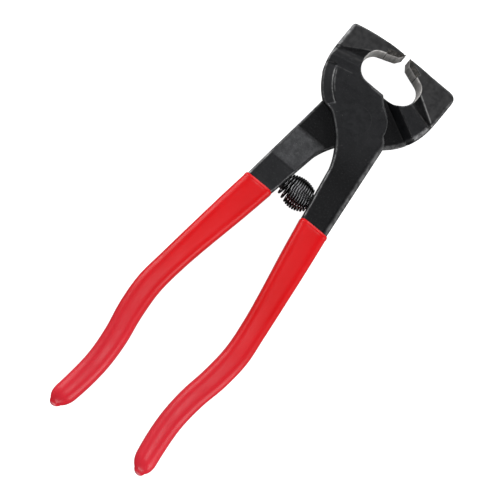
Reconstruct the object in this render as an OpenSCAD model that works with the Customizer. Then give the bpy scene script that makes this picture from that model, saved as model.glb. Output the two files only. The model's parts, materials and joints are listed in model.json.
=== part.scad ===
// Tile nippers: two crossing forged levers, lap-jointed on a flush rivet, with brazed
// carbide cutting tips, a coil return spring between the shanks and dipped vinyl grips.
//
// Frame: the pivot axis is the Z axis and z = 0 is the back face of the joint.
// +Y runs from the pivot to the jaws, the handles run along -Y, and +X is to the right.
// The front lever holds the left jaw and the right handle. The rear lever is the same
// forging turned over, and holds the right jaw and the left handle.

/* [Head] */
// Half of the width across the two jaw corners
head_half_w = 26.2; // [25.8:0.1:26.4]
// Height of the jaw tips above the pivot axis
jaw_top = 33.5; // [33.3:0.1:34.2]
// Width of the jaws along the pivot axis
jaw_w = 16; // [14:0.5:19]
// Gap between the two cutting edges at rest
tip_gap = 2.1; // [1.6:0.1:3]
// Thickness of the joint, both laps together
body_t = 12; // [11:0.5:13]
// Running gap between the two lap faces
lap_gap = 0.1; // [0.06:0.02:0.2]
// Radius of the round boss at the pivot
boss_r = 13.1; // [12.7:0.1:13.5]

/* [Pivot rivet] */
// Radius of the rivet's shaft
rivet_r = 4; // [3:0.25:5]
// Radius of its flush countersunk heads
rivet_head_r = 6; // [5.5:0.25:7]
// Depth of each countersunk head
rivet_head_t = 2; // [1:0.25:3]
// Radial running clearance in the front lever
rivet_clearance = 0.05; // [0.02:0.01:0.1]

/* [Carbide tips] */
// Length of each tip along the inner face of its jaw
tip_len = 8; // [6:0.25:9]
// Thickness of each tip
tip_t = 1.8; // [1.2:0.1:2]
// Thickness of the braze behind each tip
braze_t = 0.15; // [0.1:0.05:0.3]

/* [Spring] */
// Distance of the spring's middle below the pivot axis
spring_d = 38.3; // [37.5:0.1:38.8]
// Diameter of the spring wire
wire_d = 1; // [0.7:0.05:1]
// Number of turns
spring_turns = 10.5; // [8:0.5:10.5]
// Mean radius of the turns at the two ends
coil_end_r = 4.5; // [4.5:0.1:5]
// Mean radius of the turns in the middle
coil_mid_r = 6.3; // [5.2:0.1:6.3]
// Radius of the stud that each end sits on
stud_r = 3.5; // [2.5:0.1:3.6]

/* [Handles] */
// Half of the grips' thickness at their mouth
grip_half_t = 6.5; // [6.2:0.1:7]
// Distance of the grips' mouths below the pivot axis
grip_mouth = 45; // [44:0.5:48]
// Distance of the grips' round ends below the pivot axis
grip_end = 169; // [167:0.5:171]
// Least thickness of the vinyl beside the tang
vinyl_t = 1.4; // [1:0.1:1.6]

/* [Hidden] */

$fn = 96;
big = 90;                            // reach of cutting shapes past the object
half_t = body_t / 2;                 // height of the lap plane
jaw_rise = (jaw_w - body_t) / 2;     // how far each jaw face stands above its lever

// The window between the jaws
window_y = 15.35;                    // its lower edge
neck_x = 2;                          // where that edge turns down to the boss
window_low = [-6.8, 21.85, 6.5];     // lower corner arc: centre and radius
window_high = [-8.1, 23.2, 5.2];     // upper corner arc: centre and radius
bevel_back = [-2.85, 30.75];         // where the inner jaw face meets the edge's bevel
inner_slope = 21.1;                  // slope of the inner jaw face
edge_land = 0.3;                     // height of the flat on the cutting edge

// The arm's edge and the crotch under the joint
arm_x = 0.4;                         // the arm's round edge: centre, sideways
arm_y = 19;                          // and its height
shoulder_y = -2.2;                   // the height that the edge runs down to
boss_corner = [[16.2, -2], [15, 0.3]];   // where the shank's outer edge meets the boss
boss_arc = [9, 66];                  // directions between which the boss's round edge shows
crotch_c = [-28.8, -32.6];           // round relief under the arm: centre
crotch_r = 34.3;                     // radius
crotch_start = 58;                   // and the direction in which it begins
face_angle = 9.9;                    // each shank's inner face runs along this ray

// The lap recess and its run-outs
step_angle = 117.2;                  // direction in which the arm's recess ends
step_d = 15.6;                       // distance of that end from the pivot axis
step_run = 2.7;                      // length of its ramp
shank_step = -16;                    // where the recess ends on the shank
shank_run = 17;                      // length of its ramp

// The ground face's edge on the arm
flank_r = 22;                        // radius of the edge, about the arm's centre
flank_step = 0.4;                    // depth of the step
flank_fall = 1.4;                    // fall from the step to the arm's outer edge
flank_start = 196;                   // direction in which the edge begins
flank_sweep = 42;                    // and the angle that it runs through

// Handle line: distance below the pivot, sideways offset, half width
handle_line = [[45, 14.5, 6.95], [60, 16.85, 6.65], [80, 20.02, 5.9], [93, 21.87, 5.55],
    [106, 23.15, 5.6], [119, 22.2, 5.58], [131, 20.13, 5.38], [143, 19.33, 5.17],
    [155, 20.25, 5.1], [grip_end, 22.5, 4.85]];
end_round = 8.5;                     // length of the round end of a grip
tang_end = grip_end - 8;             // the steel stops here, inside the vinyl
lip_t = 0.55;                        // thickness of the vinyl at a grip's mouth
lip_rise = 0.08;                     // growth of that thickness per millimetre below it
lip_length = 1.5;                    // the mouth's edge draws in over this length
lip_draw = 0.03;                     // by this part of the grip's width
grip_taper = 0.009;                  // loss of half thickness per millimetre below the mouth
mouth_power = 5;                     // squareness of a grip's section at its mouth
end_power = 2.8;                     // and at its end
end_fullness = 2.2;                  // fullness of the round end
grip_sides = 28;                     // corners of a grip's section
first_corner = 6.4;                  // direction of the first of them

// Thickness along the lever: depth below the pivot, and what each face has lost there
face_falls = [[28, 0], [grip_mouth, 0.5], [grip_mouth + 8, 1.4], [tang_end + 1, 2.2]];

// The spring studs
stud_reach = 2;                      // a stud stands this far out of the shank
stud_edge = 0.6;                     // chamfer round its face
stud_root_r = 1.8;                   // pressed root: radius
stud_root = 5;                       // and depth
spring_play = 0.12;                  // gap between the spring's ends and the shanks

// The jaw's crown
crown_x = 3.5;                       // its highest point is this far from the middle

// The jaw block, as outlines on the arm's face and on the jaw's own face
block_out = -27.5;                   // reaches past the arm's outer edge
block_in = -12.9;                    // reaches past the window's edge
block_top = 40;                      // reaches past the jaw's top

// A smooth curve through column k of handle_line, at distance d below the pivot
function handle_seg(d, i = 0) =
    (i >= len(handle_line) - 2 || d < handle_line[i + 1][0]) ? i : handle_seg(d, i + 1);
function handle_rate(i, k) =
    let (a = handle_line[max(i - 1, 0)], b = handle_line[min(i + 1, len(handle_line) - 1)])
    (b[k] - a[k]) / (b[0] - a[0]);
function handle(d, k) =
    let (i = handle_seg(d), p = handle_line[i], q = handle_line[i + 1], h = q[0] - p[0],
         t = (d - p[0]) / h)
    p[k] * (1 + 2 * t) * pow(1 - t, 2) + q[k] * t * t * (3 - 2 * t)
    + handle_rate(i, k) * h * t * pow(1 - t, 2) + handle_rate(i + 1, k) * h * t * t * (t - 1);

// Turns the front lever's pieces over into the rear lever's place
module turned_over() {
    translate([0, 0, body_t])
        rotate([0, 180, 0])
            children();
}

// Places a child along +X out of the shank's inner face, at the spring's height
module at_spring_seat() {
    rotate([0, 0, face_angle])
        translate([0, -spring_d, half_t])
            rotate([0, 90, 0])
                children();
}

// Extrudes a side profile, drawn as distance and height, across the lever
module across(direction) {
    rotate([0, 0, direction])
        rotate([90, 0, 0])
            linear_extrude(height = 2 * big, center = true)
                children();
}

// Points along an arc about c, from angle a to angle b
function arc(c, r, a, b, steps) = [for (i = [0 : steps])
    let (t = a + (b - a) * i / steps) [c[0] + r * cos(t), c[1] + r * sin(t)]];

// Half width of the steel inside a grip
function shank_half(d) = handle(d, 2)
    - min(vinyl_t, lip_t + (d - grip_mouth) * lip_rise);

// The jaw's top edge, rounded by crown_r, and its outer corner, rounded by corner_r
function jaw_edge(crown_r, corner_r) =
    let (lean = asin((head_half_w - corner_r - crown_x) / crown_r),
         rise = asin((crown_x - tip_gap / 2) / crown_r),
         top = jaw_top - crown_r * (1 - cos(lean)))
    concat(arc([-crown_x, jaw_top - crown_r], crown_r, 90 - rise, 90 + lean, 8),
        arc([-head_half_w + corner_r, top - corner_r], corner_r, 96, 180, 8));

// The arm's round outer edge, down to the shoulder
function arm_edge() =
    arc([arm_x, arm_y], arm_x + head_half_w, 180,
        180 + asin((arm_y - shoulder_y) / (arm_x + head_half_w)), 24);

// The edge over the other lever's shank, down to the shank's straight inner face
function crotch_edge() =
    let (ray = [sin(face_angle), -cos(face_angle)], c = crotch_c, reach = c * ray,
         meet = reach - sqrt(reach * reach - c * c + crotch_r * crotch_r),
         corner = meet * ray - c)
    arc(c, crotch_r, crotch_start, atan2(corner[1], corner[0]), 20);

// The tang, down its inner side and back up its outer side
function tang_edge(from_d) =
    let (n = 30, depths = [for (i = [0 : n]) from_d + i * (tang_end - from_d) / n])
    concat([for (i = [0 : n]) [handle(depths[i], 1) - shank_half(depths[i]), -depths[i]]],
        [for (i = [n : -1 : 0]) [handle(depths[i], 1) + shank_half(depths[i]), -depths[i]]]);

// The window's edge, from the neck round to the cutting edge
function window_edge() = concat(
    [[neck_x, window_y]],
    arc([window_low[0], window_low[1]], window_low[2], 270, 180, 10),
    arc([window_high[0], window_high[1]], window_high[2], 180, 90 + inner_slope, 9),
    [bevel_back, [-tip_gap / 2, jaw_top - edge_land]]);

module lever_plan(crown_r, corner_r) {
    polygon(concat(
        jaw_edge(crown_r, corner_r),
        arm_edge(),
        crotch_edge(),
        [[grip_mouth * tan(face_angle), -grip_mouth]],
        tang_edge(grip_mouth),
        boss_corner,
        arc([0, 0], boss_r, boss_arc[0], boss_arc[1], 14),
        window_edge()));
}

// Thickness of the lever from the arms down to the tang, as a side profile
module thickness_profile() {
    top = concat([[big, body_t]], [for (fall = face_falls) [-fall[0], body_t - fall[1]]]);
    bottom = [for (i = [len(top) - 1 : -1 : 0]) [top[i][0], body_t - top[i][1]]];
    polygon(concat(top, bottom));
}

// The thicker jaw block with a ramp down to the arm on both faces. ramp holds the heights
// of the ramp's foot and then of its head, each at block_out and at block_in.
module jaw_block(ramp) {
    levels = [[-jaw_rise, ramp[1]], [0, ramp[0]], [body_t, ramp[0]],
        [body_t + jaw_rise, ramp[1]]];
    corners = [for (level = levels)
        for (p = [[block_out, level[1][0]], [block_in, level[1][1]], [0, level[1][1]],
            [0, block_top], [block_out, block_top]])
            [p[0], p[1], level[0]]];
    walls = [for (j = [0 : 2]) for (i = [0 : 4]) for (half = [0, 1])
        half == 0 ? [5 * j + i, 5 * j + 5 + i, 5 * j + 5 + (i + 1) % 5]
        : [5 * j + i, 5 * j + 5 + (i + 1) % 5, 5 * j + (i + 1) % 5]];
    polyhedron(corners, concat([[0, 1, 2, 3, 4]], walls, [[19, 18, 17, 16, 15]]),
        convexity = 4);
}

// What is cut from the back of the front lever so that the other lever passes
module lap_recess() {
    lap_z = half_t + lap_gap / 2;
    below = 5;
    intersection() {
        across(90)
            polygon([[big, lap_z], [shank_step, lap_z],
                [shank_step - shank_run * (lap_z + below) / lap_z, -below], [big, -below]]);
        across(step_angle)
            polygon([[-big, lap_z], [step_d, lap_z],
                [step_d + step_run * (lap_z + below) / lap_z, -below], [-big, -below]]);
    }
}

// The lower band between the ground face and the arm's outer edge
module flank_cut() {
    translate([arm_x, arm_y, 0])
        rotate([0, 0, flank_start])
            rotate_extrude(angle = flank_sweep, $fn = 180)
                polygon([[flank_r, body_t + 1], [flank_r, body_t - flank_step],
                    [head_half_w + 1, body_t - flank_step - flank_fall],
                    [head_half_w + 1, body_t + 1]]);
}

// Straight strip on the inner jaw face, grown by g behind and at its inner end
module tip_strip(g) {
    translate(bevel_back)
        rotate([0, 0, inner_slope])
            translate([3 - tip_len - g, -1])
                square([tip_len + 6 + g, 1 + tip_t + g]);
}

module tip_plan(crown_r, corner_r) {
    intersection() {
        tip_strip(0);
        lever_plan(crown_r, corner_r);
    }
}

module braze_plan(crown_r, corner_r) {
    difference() {
        intersection() {
            tip_strip(braze_t);
            lever_plan(crown_r, corner_r);
        }
        tip_strip(0);
    }
}

module rivet_shape(g) {
    translate([0, 0, -1])
        cylinder(r = rivet_r + g, h = body_t + 2);
    for (side = [0, 1])
        translate([0, 0, side * body_t])
            mirror([0, 0, side])
                cylinder(r1 = rivet_head_r + g, r2 = rivet_r + g, h = rivet_head_t);
}

module lever(crown_r, corner_r, ramp, rivet_gap) {
    difference() {
        union() {
            intersection() {
                translate([0, 0, -1])
                    linear_extrude(height = body_t + 2)
                        lever_plan(crown_r, corner_r);
                across(90)
                    thickness_profile();
            }
            intersection() {
                translate([0, 0, -jaw_rise])
                    linear_extrude(height = jaw_w)
                        lever_plan(crown_r, corner_r);
                jaw_block(ramp);
            }
        }
        lap_recess();
        flank_cut();
        rivet_shape(rivet_gap);
        at_spring_seat()
            translate([0, 0, -0.5])
                cylinder(r = stud_root_r, h = stud_root + 0.5);
        translate([0, 0, -jaw_rise - 1])
            linear_extrude(height = jaw_w + 2)
                tip_strip(braze_t);
    }
}

module carbide_tip(crown_r, corner_r) {
    translate([0, 0, -jaw_rise])
        linear_extrude(height = jaw_w)
            tip_plan(crown_r, corner_r);
}

module braze_layer(crown_r, corner_r) {
    translate([0, 0, -jaw_rise])
        linear_extrude(height = jaw_w)
            braze_plan(crown_r, corner_r);
}

module spring_stud() {
    at_spring_seat() {
        cylinder(r = stud_root_r, h = stud_root);
        translate([0, 0, -stud_reach + stud_edge])
            cylinder(r = stud_r, h = stud_reach - stud_edge);
        translate([0, 0, -stud_reach])
            cylinder(r1 = stud_r - stud_edge, r2 = stud_r, h = stud_edge);
    }
}

// A solid swept through rings that all have the same number of points
module swept(rings) {
    sides = len(rings[0]);
    last = len(rings) - 1;
    polyhedron(
        [for (ring = rings) for (p = ring) p],
        concat(
            [[for (i = [0 : sides - 1]) i]],
            [for (j = [0 : last - 1]) for (i = [0 : sides - 1])
                [j * sides + i, (j + 1) * sides + i, (j + 1) * sides + (i + 1) % sides,
                    j * sides + (i + 1) % sides]],
            [[for (i = [sides - 1 : -1 : 0]) last * sides + i]]),
        convexity = 8);
}

// How far a grip has drawn in, towards its mouth and its round end
function grip_close(d) = d > grip_end - end_round
    ? sqrt(1 - pow((d - grip_end + end_round) / end_round, end_fullness))
    : 1 - lip_draw * max(0, 1 - (d - grip_mouth) / lip_length);
// Half thickness of a grip
function grip_t(d) = (grip_half_t - (d - grip_mouth) * grip_taper) * grip_close(d);
// Squareness of a grip's section: blocky at the mouth, rounder at the end
function grip_power(d) =
    mouth_power + (end_power - mouth_power) * (d - grip_mouth) / (grip_end - grip_mouth);

function grip_ring(d) =
    let (c = handle(d, 1), w = handle(d, 2) * grip_close(d), t = grip_t(d), n = 2 / grip_power(d))
    [for (i = [0 : grip_sides - 1]) let (a = i * 360 / grip_sides + first_corner)
        [c + w * sign(cos(a)) * pow(abs(cos(a)), n), -d,
            half_t + t * sign(sin(a)) * pow(abs(sin(a)), n)]];

// The steel inside a grip, carried on past the grip's mouth
module tang_core() {
    edge = tang_edge(grip_mouth);
    intersection() {
        translate([0, 0, -1])
            linear_extrude(height = body_t + 2)
                polygon(concat([[edge[0][0], 0]], edge, [[edge[len(edge) - 1][0], 0]]));
        across(90)
            thickness_profile();
    }
}

module grip() {
    below_lip = grip_mouth + lip_length;
    round_start = grip_end - end_round;
    rows = 33;
    straight = [for (i = [0 : rows]) below_lip + i * (round_start - below_lip) / rows];
    round_end = [for (a = [18 : 12 : 90]) round_start + end_round * sin(a) * 0.999];
    difference() {
        swept([for (d = concat([grip_mouth], straight, round_end)) grip_ring(d)]);
        tang_core();
    }
}

// A barrel-shaped coil that follows an arc about the pivot axis
module coil_spring() {
    steps = 20;
    sides = 6;
    reach = face_angle - (wire_d / 2 + spring_play) / spring_d * 180 / PI;
    total = round(spring_turns * steps);
    swept([for (i = [0 : total])
        let (f = i / total, turn = 360 * i / steps, ray = reach * (2 * f - 1),
             coil = coil_end_r + (coil_mid_r - coil_end_r) * sin(180 * f))
        [for (k = [0 : sides - 1])
            let (b = -k * 360 / sides, r = coil + wire_d / 2 * cos(b),
                 along = wire_d / 2 * sin(b), out = spring_d - r * cos(turn))
            [sin(ray) * out + cos(ray) * along, -cos(ray) * out + sin(ray) * along,
                half_t + r * sin(turn)]]]);
}

// Each jaw is finished by hand, so the two differ a little
front_crown = 90;                    // radius of the jaw's top edge
rear_crown = 1000;
front_corner = 1.7;                  // radius of its outer corner
rear_corner = 3.3;
front_ramp = [[16.4, 20.2], [17.8, 26.1]];   // foot and head of the jaw's ramp
rear_ramp = [[15.7, 19.6], [16.3, 25.3]];

module front_lever() {
    color("#26272a")
        lever(front_crown, front_corner, front_ramp, rivet_clearance);
}

module rear_lever() {
    color("#2c2d30")
        turned_over()
            lever(rear_crown, rear_corner, rear_ramp, 0);
}

module pivot_rivet() {
    color("#333437")
        intersection() {
            rivet_shape(0);
            cylinder(r = big, h = body_t);
        }
}

module front_carbide_tip() {
    color("#a09c98")
        carbide_tip(front_crown, front_corner);
}

module rear_carbide_tip() {
    color("#a09c98")
        turned_over()
            carbide_tip(rear_crown, rear_corner);
}

module front_braze_layer() {
    color("#b08d57")
        braze_layer(front_crown, front_corner);
}

module rear_braze_layer() {
    color("#b08d57")
        turned_over()
            braze_layer(rear_crown, rear_corner);
}

module return_spring() {
    color("#1c1c1e")
        coil_spring();
}

module front_spring_stud() {
    color("#3a3a3c")
        spring_stud();
}

module rear_spring_stud() {
    color("#3a3a3c")
        turned_over()
            spring_stud();
}

module front_grip() {
    color("#d82028")
        grip();
}

module rear_grip() {
    color("#d82028")
        turned_over()
            grip();
}

front_lever();
rear_lever();
pivot_rivet();
front_carbide_tip();
rear_carbide_tip();
front_braze_layer();
rear_braze_layer();
return_spring();
front_spring_stud();
rear_spring_stud();
front_grip();
rear_grip();
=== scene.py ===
"""Tile nippers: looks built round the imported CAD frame.

The scene is in metres. The mesh builders work in millimetres, and so do names ending in _MM.
"""
import json
import math

import bmesh
import bpy
import numpy as np
from mathutils import Matrix, Vector
from mathutils.bvhtree import BVHTree

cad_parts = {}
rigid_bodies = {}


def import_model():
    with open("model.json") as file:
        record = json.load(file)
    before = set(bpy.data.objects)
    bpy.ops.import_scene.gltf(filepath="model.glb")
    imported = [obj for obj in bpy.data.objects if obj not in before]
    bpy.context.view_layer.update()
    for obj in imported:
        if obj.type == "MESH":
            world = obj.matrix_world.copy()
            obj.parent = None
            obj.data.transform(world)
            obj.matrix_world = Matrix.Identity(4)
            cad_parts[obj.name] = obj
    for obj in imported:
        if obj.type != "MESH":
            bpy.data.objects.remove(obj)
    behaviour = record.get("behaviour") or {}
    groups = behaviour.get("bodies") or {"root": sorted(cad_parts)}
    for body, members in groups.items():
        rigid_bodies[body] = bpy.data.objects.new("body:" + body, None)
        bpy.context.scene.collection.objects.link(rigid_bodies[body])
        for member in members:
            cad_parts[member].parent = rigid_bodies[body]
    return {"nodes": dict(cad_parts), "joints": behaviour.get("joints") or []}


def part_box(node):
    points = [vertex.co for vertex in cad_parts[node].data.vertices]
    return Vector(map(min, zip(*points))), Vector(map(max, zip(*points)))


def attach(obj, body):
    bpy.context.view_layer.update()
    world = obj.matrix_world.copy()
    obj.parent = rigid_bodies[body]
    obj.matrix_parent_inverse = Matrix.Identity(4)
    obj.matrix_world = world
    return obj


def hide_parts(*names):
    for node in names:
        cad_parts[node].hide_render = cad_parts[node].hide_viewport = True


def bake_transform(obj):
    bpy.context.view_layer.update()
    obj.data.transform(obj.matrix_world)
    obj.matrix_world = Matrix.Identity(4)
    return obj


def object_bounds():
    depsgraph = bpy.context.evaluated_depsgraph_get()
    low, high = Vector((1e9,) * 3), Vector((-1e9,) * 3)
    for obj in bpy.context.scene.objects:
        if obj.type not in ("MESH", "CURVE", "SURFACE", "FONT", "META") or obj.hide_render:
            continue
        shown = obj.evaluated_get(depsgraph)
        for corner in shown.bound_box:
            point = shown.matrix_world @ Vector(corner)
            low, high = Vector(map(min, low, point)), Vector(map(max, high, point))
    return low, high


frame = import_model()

cad_box = [list(corner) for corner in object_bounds()]
MM = 0.001

# ---------------------------------------------------------------- places, all from the frame
pivot = next(joint for joint in frame["joints"] if joint["name"] == "pivot")
REAR, FRONT = pivot["parent"], pivot["child"]
rivet_lo, rivet_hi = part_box("pivot_rivet")
BODY_T_MM = (rivet_hi.z - rivet_lo.z) / MM          # thickness of the joint
MID_MM = BODY_T_MM / 2                              # height of the lap plane
RIVET_HEAD_MM = (rivet_hi.x - rivet_lo.x) / 2 / MM
MOUTH_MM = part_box("front_grip")[1].y / MM           # y of the grips' mouths

# ---------------------------------------------------------------- values of the forgings
GRID_MM = 0.25      # spacing of the grid that the forgings are meshed on
GRID_PAD = 3                           # free cells round the forging
GRID_BELOW_MM, STEEL_BELOW_MM = 6, 4   # how far the grid and the steel go on past a grip's mouth
FAR_MM = 99                            # rays start this far away
NUDGE_MM = 0.003                       # and this far off the grid, clear of the mesh's own edges
PROBE_MM = 0.02                        # how far beside a wall its outside is looked for
INSET_MM = 0.004                       # the meshes stay this far inside the CAD shapes
HEIGHT_BLUR_MM = 0.3
FILL_ROUNDS = 8                        # heights are carried on this many cells past the outline

# the rivet's hole: a plain hole under the rivet's head, with a very shallow dish round it
SEAT_RIM_MM, SEGMENT_RIM_MM, HOLE_UNDER_MM = 1.2, 1, 0.5
HALF_LAP_GAP_MM = 0.05
DISH_MM, DISH_RIM_MM = 0.008, 0.3

# jaws' ramps: height of the foot at RAMP_OUT_MM and at RAMP_IN_MM, and rise of the ledge along it
RAMP_FEET = {"front_lever": (16.4, 20.2, 0.42), "rear_lever": (15.7, 19.6, 0.1)}
RAMP_OUT_MM, RAMP_IN_MM = 27.5, 12.9
LEDGE_RUN_MM = (-2.4, -0.2)            # the ledge rises over this stretch below the foot
LEDGE_OUT_MM = (9, 12)                 # and begins here, outward
LEDGE_REACH_MM = 3                     # it acts where a face is within this of its full height

# spans over which the finish changes, as y, as distance outward or as distance from the middle
JAW_Y = (17, 25)
SHANK_Y, SHANK_OUT = (4, -6), (6, -2)
SHANK_EDGE_OUT = (-9, -12)
TIP_X, TIP_Y = (12, 9), (24, 27)
JAW_SIDE_X, JAW_SIDE_Y, JAW_SIDE_TOP = (20, 23.5), (14, 18), (31.5, 29)
ARM_RING, ARM_Y, ARM_OUT = (23.5, 25), (18.5, 15), (5, 19)
NECK_OUT, NECK_Y = (6, 3), (7, 10)
NEAR_LAP_MM = (0.8, 0.1)               # height over the lap face
NEAR_RIVET_MM = (0.6, 1.8)             # distance from the rivet's head
NEAR_SEAM_MM = (0.35, 1.0)             # distance from the braze

# legs of the bevels, all added up, and the shares of them that are taken away
EDGE_LEG, SHANK_EDGE_LEG, SHANK_LEG = 0.35, 1.6, 0.35
JAW_SIDE_LEG, ARM_SIDE_LEG, NECK_LEG = 0.95, 1.9, 0.55
TIP_SHARE, LAP_SHARE = 0.75, 0.85
LEAST_LEG = 0.02
WIDE_LEG, WIDE_DEPTH = 1.2, 0.7        # a wider bevel than this is flatter
SOFT_EDGE, SOFT_SHARE = 0.08, 0.18     # rounding of a bevel's own edges
DRAFT, TIP_DRAFT_SHARE, JAW_DRAFT_SHARE = 0.02, 0.9, 0.6

# the ground lining of the window, and the heat stains round the cutting edges
WALL_BAND = (-0.45, -0.15)
WINDOW_Y, WINDOW_X, WINDOW_TOP = (20.2, 22.0), (14.4, 13.9), (32.4, 31.4)
BEHIND_TIP_MM, BEHIND_TIP_Y = (0.45, 0.3), (27, 27.6)
EDGES_Y, HEAT_MM = 32, (9, 2.5)
EDGE_OUTSIDE, EDGE_INSIDE = 0.3, 0.45  # how far past its leg, and from where on it, an edge is painted lighter, partly as wear and partly as painted highlight

# painted shade: the recess and the jaws' ramps are darkened as shade, and the front shank is darker
# towards the handles
RECESS_MM = (0.6, 0.2)
SHADE_SHANK_Y, SHANK_SHADE_SHARE = (-2, -24), 0.95
SHADE_RAMP_FOOT, SHADE_RAMP_HEAD = (0.45, 0.8), (1.9, 1.6)
RUBBED_JAW = (1.7, 1.95)               # height over the arm's face where the jaw's face is rubbed
LEDGE_LINE_MM, LEDGE_LINE_HALF, LEDGE_FULL = 0.2, 0.55, 0.5
FACE_BAND, LINE_BAND = (-0.25, -0.05), (-0.8, -0.3)

ARM_X_MM, ARM_Y_MM = 0.4, 19           # centre of the arm's round outer edge
# lighter lines on the arm, partly wear and partly painted highlight: radius about that centre, first
# and last direction, strength
WEAR_AND_HIGHLIGHT_ARCS = ((22.35, 199, 240, 1.0), (21.4, 198, 228, 0.6))
LINE_HALF_MM, LINE_FADE_DEG = 0.17, 6
# straight lighter lines, partly wear and partly painted highlight: ends as distance outward and height,
# strength, half width
STRAIGHT_LINES = {
    "front_lever": (((13.4, 26.0), (23.5, 20.0), 0.22, 0.15),
                    ((13.5, 13.9), (20.9, 12.1), 0.14, 0.18)),
    "rear_lever": (((10.9, 26.5), (24.3, 18.3), 1.0, 0.2),
                   ((10.0, 15.4), (23.0, 8.75), 0.2, 0.16),
                   ((13.4, 19.5), (24.5, 16.6), 0.16, 0.25))}

# ---------------------------------------------------------------- values of the grips and the coil
GRIP_ROWS, GRIP_SIDES = ((220, 72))
OUTSIDE_RING = 80                      # a row of the CAD sleeve's outside has at least this many
LIP_ROWS, LIP_END_MM, BODY_START_MM = 14, 2.4, 3
END_ROWS, END_TURN_DEG = 44, (3, 89.5)
ROUND_END_MM = 8.5                     # length of a grip's round end
DOME_MM, DOME_POWER = 7.5, 2.3         # length and fullness of its dome
DRIP_SHARE, DRIP_POWER = 0.62, 5       # width and fullness of the drip that hangs from it
# spans, as y, of the drip's painted glow and of the grips' painted highlight
DRIP_GLOW_Y, GRIP_SHEEN_Y = (1.3, 0.5), (-75, -150)
LEAST_CLOSING = 0.0001
DRIFT_ROWS = 5                         # the round end goes on along the last of these rows
# the rolled mouth draws in at its edge, swells a little below it and turns in over the steel
LIP_DRAW, LIP_DRAW_MM = 0.035, 0.45
LIP_SWELL, LIP_SWELL_AT_MM, LIP_SWELL_MM = 0.012, 1.0, 0.5
LIP_TURNS = ((0.12, 0.04), (0.3, -0.12), (0.45, -0.8))
MOUTH_POWER, POWER_LOSS = 4.6, 2.3     # squareness of a grip's section, and its loss to the end
FIRST_CORNER = 0.02                    # in radians

WIRE_MM = 1.02
COIL_TURNS = 10.5
COIL_ROWS, COIL_SIDES = ((64, 14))
COIL_DRAW_MM, COIL_FULLNESS = 1.8, 0.8 # the turns at the ends are this much smaller in radius
COIL_LEAN = 0.036                      # in radians about the pivot
LEAN_SHARE = 0.24                      # part of the coil over which the lean grows
CUT_TURNS, CUT_WIRE = 0.02, 0.3        # the wire thins to this share at its cut ends


# ---------------------------------------------------------------- mesh helpers
def add_to_scene(name, data):
    """An object of the scene that holds a mesh, a light or a camera."""
    obj = bpy.data.objects.new(name, data)
    bpy.context.scene.collection.objects.link(obj)
    return obj


def smooth_object(name, points_mm, faces):
    mesh = bpy.data.meshes.new(name)
    mesh.from_pydata((points_mm * MM).tolist(), [], [list(map(int, face)) for face in faces])
    mesh.validate()
    mesh.update()
    mesh.polygons.foreach_set("use_smooth", [True] * len(mesh.polygons))
    return add_to_scene(name, mesh)


def node_points(node):
    """A CAD node's vertices, in mm."""
    return np.array([v.co for v in frame["nodes"][node].data.vertices]) / MM


def set_attribute(obj, name, values):
    """Stores one number per vertex, which the materials read."""
    layer = obj.data.attributes.new(name, "FLOAT", "POINT")
    layer.data.foreach_set("value", np.asarray(values, np.float32))


def tube_faces(rings, sides, forward):
    """Quads between rings of points, and a cap at each end."""
    faces = []
    for j in range(rings - 1):
        for i in range(sides):
            a = j * sides + i
            b = j * sides + (i + 1) % sides
            faces.append((a, b, b + sides, a + sides) if forward else (a, a + sides, b + sides, b))
    first = tuple(range(sides))
    last = tuple((rings - 1) * sides + i for i in range(sides))
    return faces + ([first[::-1], last] if forward else [first, last[::-1]])


def surface_net(field, origin, step):
    """Vertices and quads of the surface where field changes sign; inside is negative."""
    inside = field < 0
    nx, ny, nz = field.shape
    corners = [(i, j, k) for i in (0, 1) for j in (0, 1) for k in (0, 1)]
    count = np.zeros((nx - 1, ny - 1, nz - 1), np.int8)
    for i, j, k in corners:
        count += inside[i:nx - 1 + i, j:ny - 1 + j, k:nz - 1 + k]
    cells = np.argwhere((count > 0) & (count < len(corners)))
    index = -np.ones(count.shape, np.int64)
    index[tuple(cells.T)] = np.arange(len(cells))
    total = np.zeros((len(cells), 3))
    hits = np.zeros(len(cells))
    edges = [(a, b) for a in corners for b in corners
             if sum(b) == sum(a) + 1 and all(q >= p for p, q in zip(a, b))]
    for a, b in edges:
        fa = field[tuple((cells + a).T)]
        fb = field[tuple((cells + b).T)]
        cross = (fa < 0) != (fb < 0)
        t = np.where(cross, fa / np.where(cross, fa - fb, 1), 0)
        point = np.array(a) + t[:, None] * (np.array(b) - np.array(a))
        total[cross] += point[cross]
        hits += cross
    verts = origin + step * (cells + total / hits[:, None])
    quads = []
    for axis in range(3):
        u, v = (axis + 1) % 3, (axis + 2) % 3
        before = [slice(1, -1)] * 3
        after = [slice(1, -1)] * 3
        before[axis] = slice(0, -1)
        after[axis] = slice(1, None)
        a, b = inside[tuple(before)], inside[tuple(after)]
        for flip, change in ((False, a & ~b), (True, ~a & b)):
            at = np.argwhere(change)
            at[:, u] += 1
            at[:, v] += 1
            ring = []
            for du, dv in ((-1, -1), (0, -1), (0, 0), (-1, 0)):
                cell = at.copy()
                cell[:, u] += du
                cell[:, v] += dv
                ring.append(index[tuple(cell.T)])
            ring = np.stack(ring, 1)
            quads.append(ring[:, ::-1] if flip else ring)
    return verts, np.concatenate(quads)


def blur(values, sigma):
    """Gaussian blur of a 2D array; sigma is in cells."""
    reach = max(1, int(3 * sigma + 0.5))
    kernel = np.exp(-0.5 * (np.arange(-reach, reach + 1) / sigma) ** 2)
    kernel /= kernel.sum()
    for axis in (0, 1):
        pads = [(reach, reach) if a == axis else (0, 0) for a in (0, 1)]
        padded = np.pad(values, pads, "edge")
        values = sum(share * np.take(padded, range(i, i + values.shape[axis]), axis)
                     for i, share in enumerate(kernel))
    return values


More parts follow.
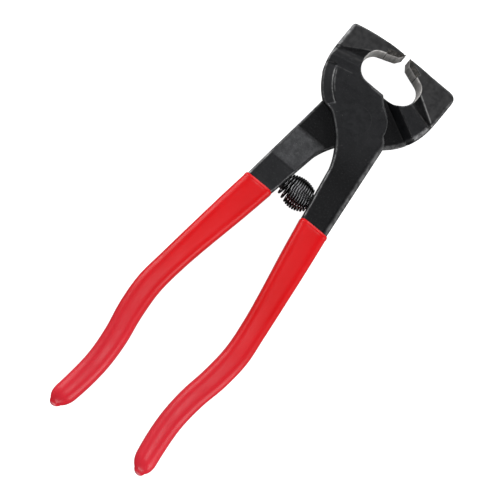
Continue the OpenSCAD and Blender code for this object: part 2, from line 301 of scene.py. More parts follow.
def fill_outward(values, known):
    """Spreads known values into the unknown cells round them."""
    values = np.where(known, values, 0.0)
    for _ in range(FILL_ROUNDS):
        weight = np.zeros(values.shape)
        total = np.zeros(values.shape)
        for shift in ((1, 0), (-1, 0), (0, 1), (0, -1)):
            near = np.roll(known, shift, (0, 1))
            weight += near
            total += np.roll(values, shift, (0, 1)) * near
        fresh = ~known & (weight > 0)
        values = np.where(fresh, total / np.maximum(weight, 1), values)
        known = known | fresh
    return values


def rounded_and(a, b, r):
    """Distance-like field of the overlap of two solids whose common edge is rounded by r."""
    return np.minimum(-r, np.maximum(a, b)) + np.hypot(np.maximum(a + r, 0), np.maximum(b + r, 0))


def bevelled(a, b, leg):
    """The overlap of two solids with a flat bevel on their common edge, softly rounded.
    The bevel takes leg off the wall's side and less off its height where it is wide."""
    leg = leg[:, :, None] + LEAST_LEG
    depth = leg * np.where(leg > WIDE_LEG, WIDE_DEPTH, 1.0)
    soft_edge = SOFT_EDGE + SOFT_SHARE * leg
    cut = (a / leg + b / depth + 1) / np.sqrt(1 / leg ** 2 + 1 / depth ** 2)
    return np.maximum(rounded_and(a, cut, soft_edge), rounded_and(b, cut, soft_edge))


def ramp(values, start, end):
    """0 at start and 1 at end, with a smooth change between them; start may be the larger."""
    t = np.clip((values - start) / (end - start), 0, 1)
    return t * t * (3 - 2 * t)


def bump_curve(values, middle, half_width):
    """1 at the middle, falling to nothing on both sides."""
    return np.exp(-((values - middle) / half_width) ** 2)


# ---------------------------------------------------------------- the forged levers
def outline_segments(tree, verts, tris):
    """The node's outline seen along Z, as 2D segments: upright walls with no solid beside them."""
    corner = verts[tris]
    normal = np.cross(corner[:, 1] - corner[:, 0], corner[:, 2] - corner[:, 0])
    size = np.linalg.norm(normal, axis=1)
    upright = (size > 1e-6) & (np.abs(normal[:, 2]) < 1e-3 * np.maximum(size, 1e-9))
    found = set()
    for tri, n in zip(corner[upright], normal[upright]):
        n = n[:2] / np.linalg.norm(n[:2])
        places = tri[:, :2] @ np.array([-n[1], n[0]])
        if np.ptp(places) < 1e-3:
            continue
        a, b = tri[places.argmin(), :2], tri[places.argmax(), :2]
        found.add((*np.round(a, 4), *np.round(b, 4), *np.round(n, 4)))
    kept = []
    for ax, ay, bx, by, nx, ny in found:
        beside = Vector(((ax + bx) / 2 + PROBE_MM * nx, (ay + by) / 2 + PROBE_MM * ny, FAR_MM))
        if tree.ray_cast(beside, Vector((0, 0, -1)))[0] is None:
            kept.append((ax, ay, bx, by))
    return np.array(kept)


def outline_distance(segments, gx, gy):
    """How far each grid point lies from the outline, leaving out the rivet's hole."""
    found = np.full(gx.shape, 1e9)
    for ax, ay, bx, by in segments:
        if math.hypot(ax, ay) < RIVET_HEAD_MM + SEGMENT_RIM_MM:
            continue
        px, py, dx, dy = gx - ax, gy - ay, bx - ax, by - ay
        t = np.clip((px * dx + py * dy) / (dx * dx + dy * dy), 0, 1)
        found = np.minimum(found, np.hypot(px - t * dx, py - t * dy))
    return found


def braze_distance(lever, gx, gy):
    """How far each grid point lies from the braze behind this lever's carbide tip."""
    reach, unknown = 2.0, 9.0
    lowest_y, widest_x = 24, 14         # the braze lies above and inside these
    node = lever.replace("lever", "braze_layer")
    polygons = [list(p.vertices) for p in frame["nodes"][node].data.polygons]
    tree = BVHTree.FromPolygons([Vector(p) for p in node_points(node)], polygons)
    found = np.full(gx.shape, unknown)
    for i, j in np.argwhere((gy > lowest_y) & (np.abs(gx) < widest_x)):
        hit = tree.find_nearest(Vector((gx[i, j], gy[i, j], MID_MM)), reach)
        if hit[0] is not None:
            found[i, j] = hit[3]
    return found


def cast_heights(tree, xs, ys):
    """The solid's top and bottom over each grid point, and where there is any."""
    top = np.zeros((len(xs), len(ys)))
    bottom = np.zeros(top.shape)
    solid = np.zeros(top.shape, bool)
    for i, x in enumerate(xs + NUDGE_MM):
        for j, y in enumerate(ys + NUDGE_MM):
            hit = tree.ray_cast(Vector((x, y, FAR_MM)), Vector((0, 0, -1)))[0]
            if hit is not None:
                solid[i, j] = True
                top[i, j] = hit.z
                bottom[i, j] = tree.ray_cast(Vector((x, y, -FAR_MM)), Vector((0, 0, 1)))[0].z
    return top, bottom, solid


def bevel_legs(gx, gy, face_up):
    """The leg of the edges' bevel at each grid point, before the tip, rivet and seam thin it."""
    outward = -face_up * gx
    shank = ramp(gy, *SHANK_Y) * ramp(outward, *SHANK_OUT)
    shank_edge = ramp(outward, *SHANK_EDGE_OUT) * shank * (face_up > 0)
    jaw_side = ramp(np.abs(gx), *JAW_SIDE_X) * ramp(gy, *JAW_SIDE_Y) * ramp(gy, *JAW_SIDE_TOP)
    arm_ring = np.hypot(gx * face_up - ARM_X_MM, gy - ARM_Y_MM)
    arm_side = ramp(arm_ring, *ARM_RING) * ramp(gy, *ARM_Y) * ramp(outward, *ARM_OUT) * (face_up < 0)
    neck = ramp(outward, *NECK_OUT) * ramp(gy, *NECK_Y) * (face_up > 0)
    return EDGE_LEG + SHANK_EDGE_LEG * shank_edge + SHANK_LEG * shank * (1 - shank_edge) \
        + np.maximum(JAW_SIDE_LEG * jaw_side, ARM_SIDE_LEG * arm_side) + NECK_LEG * neck


def wear_and_highlight_lines(node, face_up, x, y, own_face, face):
    """Fine lighter lines, partly wear and partly painted highlight: the ground face's edge on the arm,
    and straight ones on the lever.
    """
    own_x = x * face_up - ARM_X_MM
    ring = np.hypot(own_x, y - ARM_Y_MM)
    around = np.degrees(np.arctan2(y - ARM_Y_MM, own_x)) % 360
    line = np.zeros(len(x))
    for radius, first, last, strength in WEAR_AND_HIGHLIGHT_ARCS:
        line += strength * bump_curve(ring, radius, LINE_HALF_MM) \
            * ramp(around, first, first + LINE_FADE_DEG) * ramp(around, last, last - LINE_FADE_DEG)
    line *= ramp(own_face, *LINE_BAND)
    for first, last, strength, half_width in STRAIGHT_LINES[node]:
        along = np.array(last) - first
        at = np.stack([-face_up * x, y], 1) - first
        t = np.clip(at @ along / (along @ along), 0, 1)
        off = np.linalg.norm(at - t[:, None] * along, axis=1)
        line += strength * bump_curve(off, 0, half_width) * ramp(face, *LINE_BAND)
    return line


def forged_lever(node, name, face_up):
    """Rounds the CAD lever's edges as a drop forging has them. face_up is 1 where the lap's
    back is below, as on the front lever, and -1 where it is above."""
    source = frame["nodes"][node].data
    verts = node_points(node)
    source.calc_loop_triangles()
    tris = np.array([t.vertices for t in source.loop_triangles])
    tree = BVHTree.FromPolygons([Vector(v) for v in verts], tris.tolist())

    lowest = np.array([verts[:, 0].min(), MOUTH_MM - GRID_BELOW_MM, verts[:, 2].min()])
    low = lowest - GRID_PAD * GRID_MM
    high = verts.max(0) + GRID_PAD * GRID_MM
    shape = np.ceil((high - low) / GRID_MM).astype(int) + 1
    xs, ys, zs = (start + GRID_MM * np.arange(n) for start, n in zip(low, shape))
    top, bottom, solid = cast_heights(tree, xs, ys)
    gx, gy = np.meshgrid(xs, ys, indexing="ij")
    from_pivot = np.hypot(gx, gy)
    seat = from_pivot < RIVET_HEAD_MM + SEAT_RIM_MM
    top = np.where(seat, BODY_T_MM if face_up > 0 else MID_MM - HALF_LAP_GAP_MM, top)
    bottom = np.where(seat, MID_MM + HALF_LAP_GAP_MM if face_up > 0 else 0, bottom)
    solid |= seat
    plan = outline_distance(outline_segments(tree, verts, tris), gx, gy)
    plan = np.where(solid, -plan, plan)
    plan = np.maximum(plan, RIVET_HEAD_MM - HOLE_UNDER_MM - from_pivot)
    dish = DISH_MM * ramp(from_pivot, RIVET_HEAD_MM + DISH_RIM_MM, RIVET_HEAD_MM)
    top, bottom = top - dish * (face_up > 0), bottom + dish * (face_up < 0)

    outward = -face_up * gx
    foot_out, foot_in, ledge_rise = RAMP_FEET[node]
    foot = foot_out + (foot_in - foot_out) * (RAMP_OUT_MM - outward) / (RAMP_OUT_MM - RAMP_IN_MM)
    ledge = ledge_rise * ramp(gy - foot, *LEDGE_RUN_MM) * ramp(outward, *LEDGE_OUT_MM)
    top_ledge = np.maximum(ledge - np.maximum(top - BODY_T_MM, 0), 0)
    bottom_ledge = np.maximum(ledge - np.maximum(-bottom, 0), 0)
    top = fill_outward(top + top_ledge * (top > BODY_T_MM - LEDGE_REACH_MM), solid)
    bottom = fill_outward(bottom - bottom_ledge * (bottom < LEDGE_REACH_MM), solid)
    top_soft, bottom_soft = (blur(heights, HEIGHT_BLUR_MM / GRID_MM) for heights in (top, bottom))

    jaw = ramp(gy, *JAW_Y)
    near_tip = ramp(np.abs(gx), *TIP_X) * ramp(gy, *TIP_Y)
    lap_top = ramp(top_soft, *(MID_MM + gap for gap in NEAR_LAP_MM))
    lap_bottom = ramp(bottom_soft, *(MID_MM - gap for gap in NEAR_LAP_MM))
    seam = braze_distance(node, gx, gy)
    bevel = bevel_legs(gx, gy, face_up) * (1 - TIP_SHARE * near_tip)
    bevel = bevel * ramp(from_pivot, *(RIVET_HEAD_MM + rim for rim in NEAR_RIVET_MM))
    bevel = bevel * ramp(seam, *NEAR_SEAM_MM)
    draft = DRAFT * (1 - TIP_DRAFT_SHARE * near_tip) * (1 - JAW_DRAFT_SHARE * jaw)

    def from_face(heights, direction):
        """Distance above the top (direction 1) or below the bottom (-1) through the whole grid."""
        slope = np.sqrt(1 + sum(g * g for g in np.gradient(heights, GRID_MM)))
        beyond = direction * (zs[None, None, :] - heights[:, :, None])
        return (beyond + INSET_MM) / slope[:, :, None]

    wall = plan[:, :, None] + draft[:, :, None] * np.abs(zs[None, None, :] - MID_MM)
    upper = bevelled(wall, from_face(top_soft, 1), bevel * (1 - LAP_SHARE * lap_top))
    lower = bevelled(wall, from_face(bottom_soft, -1), bevel * (1 - LAP_SHARE * lap_bottom))
    steel_end = (MOUTH_MM - STEEL_BELOW_MM) - ys
    field = np.maximum(np.maximum(upper, lower), steel_end[None, :, None])
    points, quads = surface_net(field.astype(np.float32), low, GRID_MM)
    obj = smooth_object(name, points, quads)

    # how far each vertex lies outside the wall and outside the faces
    cell = np.clip(((points - low) / GRID_MM).astype(int), 0, shape - 1)
    at = cell[:, 0], cell[:, 1]
    x, y, z = points.T
    off_mid = np.abs(z - MID_MM)
    wall_at = plan[at] + draft[at] * off_mid
    up_at, low_at = z - top_soft[at], bottom_soft[at] - z
    face_at = np.maximum(up_at, low_at)
    # painted highlight: the bevels are painted lighter, partly as edge wear and partly as the lamps'
    # highlight on them
    edge_span = -bevel[at] - EDGE_OUTSIDE, -EDGE_INSIDE * bevel[at]
    set_attribute(obj, "edge", ramp(wall_at, *edge_span) * ramp(face_at, *edge_span))

    window = ramp(y, *WINDOW_Y) * ramp(np.abs(x), *WINDOW_X) * ramp(y, *WINDOW_TOP)
    behind_tip = ramp(seam[at], *BEHIND_TIP_MM) * ramp(y, *BEHIND_TIP_Y)
    set_attribute(obj, "ground", ramp(wall_at, *WALL_BAND) * window * (1 - behind_tip))
    set_attribute(obj, "heat", ramp(np.hypot(x, y - EDGES_Y), *HEAT_MM))

    # painted shade: darkened in the recess and on the jaws' ramps, and darker towards the handles on
    # the front shank
    shank_shade = SHANK_SHADE_SHARE * ramp(y, *SHADE_SHANK_Y) * (face_up > 0)
    over_arm = off_mid - MID_MM
    ramp_shade = ramp(over_arm, *SHADE_RAMP_FOOT) * ramp(over_arm, *SHADE_RAMP_HEAD)
    in_recess = ramp(off_mid, *RECESS_MM)
    set_attribute(obj, "painted_shade", np.maximum(np.maximum(in_recess, shank_shade), ramp_shade))

    # painted highlight: a lighter line along the ledge at the ramp's foot
    ledge_highlight = bump_curve(y - foot[at], LEDGE_LINE_MM, LEDGE_LINE_HALF) * (ledge[at] / LEDGE_FULL) \
        * ramp(over_arm, 0, LEDGE_LINE_MM)
    rubbed_face_and_ledge_highlight = np.maximum(ramp(over_arm, *RUBBED_JAW), ledge_highlight)
    set_attribute(obj, "jaw", ramp(face_at, *FACE_BAND) * rubbed_face_and_ledge_highlight)
    own_face = up_at if face_up > 0 else low_at
    set_attribute(obj, "line", wear_and_highlight_lines(node, face_up, x, y, own_face, face_at))
    return obj


# ---------------------------------------------------------------- materials
class Nodes:
    """Short names for building a material's node tree."""

    def __init__(self, name):
        self.mat = bpy.data.materials.new(name)
        self.mat.use_nodes = True
        self.tree = self.mat.node_tree
        self.tree.nodes.clear()
        self.out = self.tree.nodes.new("ShaderNodeOutputMaterial")
        self.bsdf = self.tree.nodes.new("ShaderNodeBsdfPrincipled")
        self.tree.links.new(self.bsdf.outputs[0], self.out.inputs[0])
        coords = self.tree.nodes.new("ShaderNodeTexCoord")
        self.place = coords.outputs["Object"]
        self.normal = coords.outputs["Normal"]

    def link(self, value, socket):
        if isinstance(value, bpy.types.NodeSocket):
            self.tree.links.new(value, socket)
        elif isinstance(value, (tuple, list)) and len(value) == 3 and socket.type == "RGBA":
            socket.default_value = (*value, 1)
        else:
            socket.default_value = value

    def attribute(self, name):
        node = self.tree.nodes.new("ShaderNodeAttribute")
        node.attribute_name = name
        return node.outputs["Fac"]

    def noise(self, scale, detail=3, rough=0.55, stretch=None):
        node = self.tree.nodes.new("ShaderNodeTexNoise")
        node.inputs["Scale"].default_value = scale
        node.inputs["Detail"].default_value = detail
        node.inputs["Roughness"].default_value = rough
        self.link(self.stretched(stretch), node.inputs["Vector"])
        return node.outputs[0]

    def cells(self, scale):
        node = self.tree.nodes.new("ShaderNodeTexVoronoi")
        node.inputs["Scale"].default_value = scale
        self.link(self.place, node.inputs["Vector"])
        return node.outputs["Distance"]

    def stretched(self, stretch):
        if stretch is None:
            return self.place
        node = self.tree.nodes.new("ShaderNodeMapping")
        node.inputs["Scale"].default_value = stretch
        self.tree.links.new(self.place, node.inputs["Vector"])
        return node.outputs[0]

    def spread(self, value, low, high, to_low=0.0, to_high=1.0):
        """Takes value from low..high to to_low..to_high, with smooth ends."""
        node = self.tree.nodes.new("ShaderNodeMapRange")
        node.interpolation_type = "SMOOTHSTEP"
        for socket, v in zip(node.inputs[:5], (value, low, high, to_low, to_high)):
            self.link(v, socket)
        return node.outputs[0]

    def maths(self, operation, a, b=0.0):
        node = self.tree.nodes.new("ShaderNodeMath")
        node.operation = operation
        self.link(a, node.inputs[0])
        self.link(b, node.inputs[1])
        return node.outputs[0]

    def product(self, a, b):
        return self.maths("MULTIPLY", a, b)

    def total(self, a, b):
        return self.maths("ADD", a, b)

    def faces_along_z(self):
        """1 on faces across the pivot axis and 0 on upright walls."""
        split = self.tree.nodes.new("ShaderNodeSeparateXYZ")
        self.tree.links.new(self.normal, split.inputs[0])
        return self.spread(self.maths("ABSOLUTE", split.outputs["Z"]), 0.55, 0.9)

    def mix(self, share, a, b):
        """Mixes two colours."""
        node = self.tree.nodes.new("ShaderNodeMix")
        node.data_type = "RGBA"
        self.link(share, node.inputs["Factor"])
        self.link(a, node.inputs[6])
        self.link(b, node.inputs[7])
        return node.outputs[2]

    def blend(self, share, a, b):
        """Mixes two numbers."""
        node = self.tree.nodes.new("ShaderNodeMix")
        self.link(share, node.inputs["Factor"])
        self.link(a, node.inputs[2])
        self.link(b, node.inputs[3])
        return node.outputs[0]

    def bump(self, height, depth):
        node = self.tree.nodes.new("ShaderNodeBump")
        node.inputs["Strength"].default_value = 1.0
        node.inputs["Distance"].default_value = depth
        self.link(height, node.inputs["Height"])
        self.tree.links.new(node.outputs[0], self.bsdf.inputs["Normal"])

    def set(self, **sockets):
        for name, value in sockets.items():
            self.link(value, self.bsdf.inputs[name.replace("_", " ")])
        return self.mat


OXIDE = ((0.0085, 0.009, 0.0105), (0.0135, 0.014, 0.0158))     # darkest and lightest black oxide
BARE = ((0.50, 0.485, 0.468), (0.72, 0.70, 0.678))             # and ground metal
STEEL_METALLIC, SHADE_METALLIC = 0.55, 0.70


def forged_steel():
    """Black oxide over forged steel: mottled, pitted, ground in the window, its bevels and fine lines
    painted lighter as wear and as painted highlight, its recess and ramps darkened as painted shade,
    and its front shank darker towards the handles.
    """
    n = Nodes("black_oxide_steel")
    edge, ground, heat = n.attribute("edge"), n.attribute("ground"), n.attribute("heat")
    jaw, line, painted_shade = n.attribute("jaw"), n.attribute("line"), n.attribute("painted_shade")
    clouds = n.noise(90, 4)
    grain = n.noise(1500, 3, 0.65)
    scale = n.noise(420, 5, 0.6)
    pits = n.spread(n.cells(900), 0.16, 0.05)
    rare = n.spread(n.noise(260, 2), 0.60, 0.68)
    base = n.mix(n.spread(clouds, 0.35, 0.68), *OXIDE)
    # painted shade: near black in the recess, on the ramps and down the front shank
    base = n.mix(painted_shade, base, (0.004, 0.0042, 0.005))
    worn_face_and_ledge_highlight = n.mix(n.spread(scale, 0.35, 0.65), (0.027, 0.027, 0.028), (0.041, 0.041, 0.042))
    # the jaw's rubbed face, and a painted highlight along the ledge at the ramp's foot
    base = n.mix(n.product(jaw, 0.85), base, worn_face_and_ledge_highlight)
    base = n.mix(n.product(n.spread(grain, 0.5, 0.72), 0.3), base, (0.04, 0.041, 0.043))
    base = n.mix(n.product(pits, n.product(rare, 0.8)), base, (0.13, 0.13, 0.13))
    # painted highlight: the bevels painted lighter, partly as edge wear
    edge_wear_and_highlight = n.product(edge, n.spread(scale, 0.38, 0.62, 0.3, 0.9))
    base = n.mix(n.product(edge_wear_and_highlight, 0.85), base, (0.18, 0.18, 0.182))
    # painted highlight: thin lighter lines along edges and ridges, partly wear
    line_wear_and_highlight = n.product(line, n.spread(scale, 0.33, 0.55, 0.35, 1.0))
    base = n.mix(line_wear_and_highlight, base, (0.26, 0.26, 0.26))
    blotch = n.product(heat, n.spread(n.noise(700, 4), 0.42, 0.62))
    base = n.mix(n.product(blotch, 0.6), base, (0.062, 0.057, 0.052))
    lines = n.noise(900, 2, 0.5, stretch=(1, 1, 0.05))
    bare = n.mix(n.spread(lines, 0.35, 0.65), *BARE)
    base = n.mix(ground, base, bare)
    rough = n.spread(scale, 0.3, 0.7, 0.36, 0.52)
    rough = n.blend(ground, n.blend(edge, rough, 0.40), n.spread(lines, 0.3, 0.7, 0.34, 0.5))
    height = n.total(n.product(scale, 0.7), n.product(grain, 0.35))
    height = n.maths("SUBTRACT", height, n.product(pits, n.product(rare, 0.6)))
    n.bump(height, 0.06 * MM)
    metallic = n.blend(painted_shade, STEEL_METALLIC, SHADE_METALLIC)
    return n.set(Base_Color=base, Roughness=rough, Metallic=metallic)


def carbide():
    """Ground sintered carbide, dark with heat on its sides."""
    n = Nodes("ground_carbide")
    side = n.faces_along_z()
    lines = n.noise(1100, 2, 0.5, stretch=(1, 1, 0.04))
    grain = n.noise(2600, 3, 0.7)
    bare = n.mix(n.spread(lines, 0.35, 0.65), *BARE)
    stained = n.mix(n.spread(n.noise(800, 4), 0.4, 0.66), (0.022, 0.021, 0.02), (0.095, 0.089, 0.082))
    n.bump(n.total(n.product(lines, 0.6), n.product(grain, 0.4)), 0.03 * MM)
    return n.set(Base_Color=n.mix(side, bare, stained), Roughness=n.spread(grain, 0.3, 0.7, 0.34, 0.5),
                 Metallic=STEEL_METALLIC)


def brazing():
    """Heat-stained braze on the jaws' sides, ground bright with the steel in the window."""
    n = Nodes("stained_braze")
    side = n.faces_along_z()
    tone = n.noise(900, 4)
    stained = n.mix(n.spread(tone, 0.35, 0.65), (0.02, 0.019, 0.017), (0.06, 0.052, 0.042))
    bare = n.mix(n.spread(tone, 0.35, 0.65), *BARE)
    n.bump(tone, 0.04 * MM)
    return n.set(Base_Color=n.mix(side, bare, stained), Roughness=n.spread(tone, 0.3, 0.7, 0.36, 0.5),
                 Metallic=STEEL_METALLIC)


def black_wire():
    """Drawn spring wire, blackened and semi-gloss."""
    n = Nodes("spring_wire")
    tone = n.noise(500, 4)
    draw = n.noise(2500, 2)
    n.bump(draw, 0.01 * MM)
    return n.set(Base_Color=n.mix(n.spread(tone, 0.4, 0.7), (0.065, 0.065, 0.067), (0.12, 0.12, 0.124)),
                 Roughness=n.spread(tone, 0.3, 0.7, 0.14, 0.22), Metallic=1.0)


def rivet_steel():
    """The forgings' black oxide, on the rivet's and the studs' turned faces."""
    n = Nodes("blackened_rivet")
    tone = n.noise(420, 5, 0.6)
    grain = n.noise(1500, 3, 0.65)
    n.bump(n.total(n.product(tone, 0.7), n.product(grain, 0.35)), 0.06 * MM)
    return n.set(Base_Color=n.mix(n.spread(tone, 0.35, 0.68), *OXIDE),
                 Roughness=n.spread(tone, 0.3, 0.7, 0.38, 0.52), Metallic=STEEL_METALLIC)


def dipped_vinyl():
    """Soft red vinyl: gentle flow unevenness, fine specks and scuffs, a painted highlight on the grips'
    lower halves and a painted glow on the drip.
    """
    n = Nodes("dipped_vinyl")
    flow = n.noise(45, 2, 0.5, stretch=(1.6, 0.5, 1.6))
    skin = n.noise(1300, 3, 0.6)
    scuff = n.noise(220, 5, 0.7, stretch=(1, 0.35, 1))
    specks = n.product(n.spread(n.cells(500), 0.13, 0.05), n.spread(n.noise(150, 1), 0.55, 0.63))
    base = n.mix(n.spread(flow, 0.3, 0.7), (0.58, 0.002, 0.003), (0.66, 0.004, 0.007))
    paler = n.mix(n.spread(flow, 0.3, 0.7), (0.62, 0.018, 0.032), (0.70, 0.028, 0.046))
    # painted highlight: the grips' lower halves are painted paler and pinker
    base = n.mix(n.attribute("painted_grip_sheen"), base, paler)
    base = n.mix(n.product(n.spread(scuff, 0.56, 0.74), 0.12), base, (0.68, 0.045, 0.06))
    base = n.mix(n.product(specks, 0.4), base, (0.42, 0.01, 0.015))
    # painted light: the drip's thin vinyl is painted pale pink, as if lit through from behind
    base = n.mix(n.attribute("drip"), base, (0.72, 0.17, 0.19))
    n.bump(n.total(n.product(skin, 0.15), n.product(flow, 1.2)), 0.12 * MM)
    n.bsdf.inputs["Subsurface Weight"].default_value = 0.08
    n.bsdf.inputs["Subsurface Radius"].default_value = (1.5 * MM, 0.4 * MM, 0.3 * MM)
    n.bsdf.inputs["Subsurface Scale"].default_value = 1.0
    n.bsdf.inputs["Specular IOR Level"].default_value = 0.22
    return n.set(Base_Color=base, Roughness=n.spread(scuff, 0.35, 0.75, 0.28, 0.42))


STEEL, CARBIDE, BRAZE = forged_steel(), carbide(), brazing()
WIRE, RIVET, VINYL = black_wire(), rivet_steel(), dipped_vinyl()


def give(obj, material):
    obj.data.materials.clear()
    obj.data.materials.append(material)


def bevel_cad(node, width_mm, material):
    """Softens a CAD node's sharp edges and gives it its material."""
    sharp_from = 40                     # degrees
    obj = frame["nodes"][node]
    modifier = obj.modifiers.new("soft_edges", "BEVEL")
    modifier.width = width_mm * MM
    modifier.segments = 2
    modifier.limit_method = "ANGLE"
    modifier.angle_limit = math.radians(sharp_from)
    give(obj, material)


# ---------------------------------------------------------------- the pieces
def finish_piece(obj, material, node):
    """Gives a piece its material and puts it in its CAD node's place."""
    give(obj, material)
    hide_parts(node)


for node, name, body, face_up in (("front_lever", "front_forging", FRONT, 1),
                                  ("rear_lever", "rear_forging", REAR, -1)):
    lever = forged_lever(node, name, face_up)
    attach(lever, body)
    finish_piece(lever, STEEL, node)

for end in ("front", "rear"):
    bevel_cad(end + "_carbide_tip", 0.06, CARBIDE)
    give(frame["nodes"][end + "_braze_layer"], BRAZE)
    bevel_cad(end + "_spring_stud", 0.3, RIVET)
give(frame["nodes"]["pivot_rivet"], RIVET)


def sleeve_rows(co):
    """The CAD sleeve's rows below its mouth, from its end up: y, least and greatest x, then z."""
    rows = []
    for y in np.unique(np.round(co[:, 1], 3)):
        ring = co[np.abs(co[:, 1] - y) < 0.002]
        if len(ring) >= OUTSIDE_RING:
            rows.append((y, ring[:, 0].min(), ring[:, 0].max(), ring[:, 2].min(), ring[:, 2].max()))
    return np.array(rows)


def smooth_through(places, values, wanted):
    """Cubic through the values at places, read at the wanted ones."""
    rate = np.gradient(values, places)
    wanted = np.clip(wanted, places[0], places[-1])
    i = np.clip(np.searchsorted(places, wanted) - 1, 0, len(places) - 2)
    h = places[i + 1] - places[i]
    t = (wanted - places[i]) / h
    return (values[i] * (1 + 2 * t) * (1 - t) ** 2 + values[i + 1] * t * t * (3 - 2 * t)
            + rate[i] * h * t * (1 - t) ** 2 + rate[i + 1] * h * t * t * (t - 1))


def grip(node, name, body):
    """The dipped sleeve: its section and line are the CAD grip's, with a rolled mouth lip."""
    co = node_points(node)
    rows = sleeve_rows(co)
    start, end = rows[-1, 0], np.round(co[:, 1], 3).min()
    round_start = end + ROUND_END_MM
    turn = np.radians(np.linspace(*END_TURN_DEG, END_ROWS))
    depth = np.concatenate([np.linspace(start, start - LIP_END_MM, LIP_ROWS),
                            np.linspace(start - BODY_START_MM, round_start, GRIP_ROWS),
                            round_start - ROUND_END_MM * np.sin(turn)])
    rows = rows[(rows[:, 0] >= round_start - 0.1) & (rows[:, 0] < start - 1)]
    left, right, back, front = (smooth_through(rows[:, 0], rows[:, k], depth) for k in (1, 2, 3, 4))
    centre = (left + right) / 2
    last = LIP_ROWS + GRIP_ROWS - 1     # the last row above the round end
    before = last - DRIFT_ROWS
    drift = (centre[last] - centre[before]) / (depth[last] - depth[before])
    beyond = np.minimum(depth - round_start, 0)
    centre = centre + drift * beyond
    half_w = (right - left) / 2 - 10 * INSET_MM
    half_t = (front - back) / 2 - INSET_MM
    mid_z = (front + back) / 2
    # the round end, and the small drip of vinyl that hangs from it
    fall = np.abs(beyond)
    dome = np.sqrt(np.maximum(1 - (fall / DOME_MM) ** DOME_POWER, LEAST_CLOSING))
    drip = DRIP_SHARE * np.sqrt(np.maximum(1 - (fall / ROUND_END_MM) ** DRIP_POWER, LEAST_CLOSING))
    lip = start - depth
    scale = np.maximum(dome, drip) * (1 - LIP_DRAW * bump_curve(lip, 0, LIP_DRAW_MM)
                                      + LIP_SWELL * bump_curve(lip, LIP_SWELL_AT_MM, LIP_SWELL_MM))
    power = MOUTH_POWER - POWER_LOSS * (start - depth) / (start - end)
    angle = np.linspace(0, 2 * np.pi, GRIP_SIDES, endpoint=False) + FIRST_CORNER
    c, s = np.cos(angle), np.sin(angle)
    rings = []
    for i, y in enumerate(depth):
        x = centre[i] + half_w[i] * scale[i] * np.sign(c) * np.abs(c) ** (2 / power[i])
        z = mid_z[i] + half_t[i] * scale[i] * np.sign(s) * np.abs(s) ** (2 / power[i])
        rings.append(np.stack([x, np.full(GRIP_SIDES, y), z], 1))
    # the mouth turns in over the steel
    for inset, rise in LIP_TURNS:
        away = rings[0] - np.array([centre[0], start, mid_z[0]])
        away[:, 1] = 0
        inner = rings[0] - inset * away / np.linalg.norm(away, axis=1)[:, None]
        inner[:, 1] += rise
        rings.insert(0, inner)
    points = np.concatenate(rings)
    obj = smooth_object(name, points, tube_faces(len(rings), GRIP_SIDES, True))
    # painted light: the drip's pale glow, as if lit through from behind
    set_attribute(obj, "drip", ramp(points[:, 1], *(end + rise for rise in DRIP_GLOW_Y)))
    # painted highlight, full on the grips' lower halves
    set_attribute(obj, "painted_grip_sheen", ramp(points[:, 1], *GRIP_SHEEN_Y))
    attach(obj, body)
    finish_piece(obj, VINYL, node)


grip("front_grip", "front_sleeve", FRONT)
grip("rear_grip", "rear_sleeve", REAR)


def coil():
    """The return spring: a fine helix on an arc about the pivot, with closed, cut ends."""
    co = node_points("return_spring")
    radius = np.hypot(co[:, 0], co[:, 1])
    arc_r = (radius.min() + radius.max()) / 2
    reach = np.abs(np.arctan2(co[:, 0], -co[:, 1])).max() - WIRE_MM / 2 / arc_r
    mid_coil = (co[:, 2].max() - co[:, 2].min()) / 2 - WIRE_MM / 2
    end_coil = mid_coil - COIL_DRAW_MM
    n = int(COIL_TURNS * COIL_ROWS)
    f = np.arange(n + 1) / n
    turn = 2 * np.pi * COIL_TURNS * f
    coil_r = end_coil + (mid_coil - end_coil) * np.abs(np.sin(np.pi * f)) ** COIL_FULLNESS
    k = np.linspace(0, 2 * np.pi, COIL_SIDES, endpoint=False)
    thinned = np.clip(np.minimum(f, 1 - f) * COIL_TURNS / CUT_TURNS, CUT_WIRE, 1)
    r = coil_r[:, None] + WIRE_MM / 2 * np.cos(k) * thinned[:, None]
    along = WIRE_MM / 2 * np.sin(k) * thinned[:, None]
    out = arc_r - r * np.cos(turn)[:, None]
    # the far side of the coil is closed up towards the front lever, which opens its other end
    grown = ramp(f, 0, LEAN_SHARE) * np.minimum(1, (1 - f) / (1 - LEAN_SHARE))
    where = reach * (2 * f - 1) + COIL_LEAN * grown * (1 - np.cos(turn)) / 2
    sw, cw = np.sin(where)[:, None], np.cos(where)[:, None]
    z = MID_MM + r * np.sin(turn)[:, None]
    points = np.stack([sw * out + cw * along, -cw * out + sw * along, z], 2).reshape(-1, 3)
    obj = smooth_object("return_coil", points, tube_faces(n + 1, COIL_SIDES, False))
    finish_piece(obj, WIRE, "return_spring")
    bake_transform(obj)


coil()

# ---------------------------------------------------------------- stage, light and camera
FLOOR_HALF, FLOOR_Y = 1.6, -0.07
FLOOR_GAP = 0.3 * MM                   # under the tool
WHITE = (1, 1, 1, 1)
floor_mesh = bmesh.new()
bmesh.ops.create_grid(floor_mesh, x_segments=8, y_segments=8, size=FLOOR_HALF)
floor_data = bpy.data.meshes.new("floor")
floor_mesh.to_mesh(floor_data)
floor = add_to_scene("floor", floor_data)
floor.location = (0, FLOOR_Y, cad_box[0][2] - FLOOR_GAP)
pale = Nodes("pale_floor")
pale.set(Base_Color=(0.6, 0.6, 0.6), Roughness=0.9)
pale.bsdf.inputs["Specular IOR Level"].default_value = 0.1
pale.bsdf.inputs["Emission Color"].default_value = WHITE
pale.bsdf.inputs["Emission Strength"].default_value = 0.95
give(floor, pale.mat)
floor.visible_diffuse = False          # the tool is lit as if it hung clear of the floor
floor.visible_glossy = False


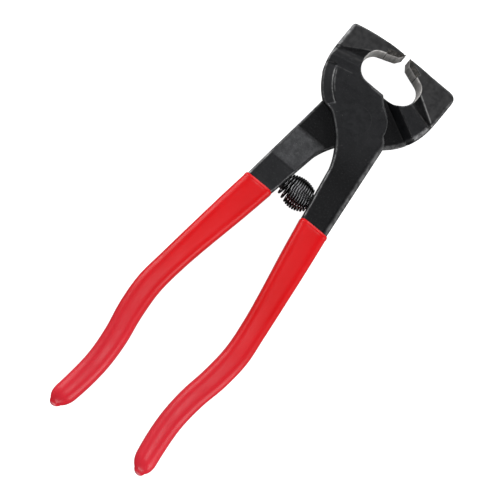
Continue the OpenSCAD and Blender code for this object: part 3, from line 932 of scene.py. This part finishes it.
def area_light(name, place, width, height, power):
    """A soft box that looks at the tool's upper half."""
    looks_at = Vector((0, -0.03, 0.006))
    data = bpy.data.lights.new(name, "AREA")
    data.shape = "RECTANGLE"
    data.size, data.size_y = width, height
    data.energy = power
    light = add_to_scene(name, data)
    light.location = place
    light.rotation_euler = (looks_at - Vector(place)).to_track_quat("-Z", "Y").to_euler()


area_light("light_jaws", (0.05, 0.85, 0.62), 0.6, 0.6, 5.5)
area_light("light_right", (0.88, -0.35, 0.36), 0.5, 0.8, 6.5)
area_light("light_left", (-0.95, 0.1, 0.40), 0.5, 1.0, 8.0)
area_light("light_handles", (0.15, -1.1, 0.06), 0.5, 0.12, 3.5)
area_light("light_grips", (0.0, -0.24, 1.2), 0.16, 0.25, 2.0)

world = bpy.data.worlds.new("studio")
bpy.context.scene.world = world
world.use_nodes = True
sky = world.node_tree
place = sky.nodes.new("ShaderNodeTexCoord")
split = sky.nodes.new("ShaderNodeSeparateXYZ")
sky.links.new(place.outputs["Generated"], split.inputs[0])


def sky_ramp(axis, start, end, low, high):
    """Brightness that goes from low to high as the direction's part along axis goes up."""
    node = sky.nodes.new("ShaderNodeMapRange")
    node.interpolation_type = "SMOOTHSTEP"
    for name, value in (("From Min", start), ("From Max", end), ("To Min", low), ("To Max", high)):
        node.inputs[name].default_value = value
    sky.links.new(split.outputs[axis], node.inputs["Value"])
    return node.outputs[0]


strength = sky_ramp("Z", 0.3, 0.92, 0.8, 0.175)               # dark overhead
for part in (sky_ramp("Z", -0.35, 0.05, 0.35, 1.0),           # dim from below
             sky_ramp("Y", -0.55, 0.15, 0.1, 1.0)):           # and on the handles' side
    product = sky.nodes.new("ShaderNodeMath")
    product.operation = "MULTIPLY"
    sky.links.new(strength, product.inputs[0])
    sky.links.new(part, product.inputs[1])
    strength = product.outputs[0]
sky.links.new(strength, sky.nodes["Background"].inputs["Strength"])
sky.nodes["Background"].inputs["Color"].default_value = WHITE

AXIS_DEG = 50.62                       # the tool's axis above the picture's horizontal
TILT_DEG = 4.5                         # the camera stands this far towards the handles
DISTANCE, SENSOR_MM = 0.80, 36
VIEW_WIDTH = 0.2055                    # width of the picture at the tool
VIEW_CENTRE = Vector((0, -0.0688, 0.006))
tilt, roll = math.radians(TILT_DEG), math.radians(AXIS_DEG)
back = Vector((0, -math.sin(tilt), math.cos(tilt)))
tool_up = Vector((0, math.cos(tilt), math.sin(tilt)))
tool_right = tool_up.cross(back)
picture_right = math.cos(roll) * tool_up + math.sin(roll) * tool_right
picture_up = math.sin(roll) * tool_up - math.cos(roll) * tool_right
camera_data = bpy.data.cameras.new("camera")
camera_data.sensor_width = SENSOR_MM
camera_data.lens = SENSOR_MM * DISTANCE / VIEW_WIDTH
camera_data.clip_start, camera_data.clip_end = 0.05, 10
camera = add_to_scene("camera", camera_data)
camera.matrix_world = Matrix((picture_right, picture_up, back)).transposed().to_4x4()
camera.location = VIEW_CENTRE + back * DISTANCE
bpy.context.scene.camera = camera
bpy.context.scene.view_settings.view_transform = "Standard"
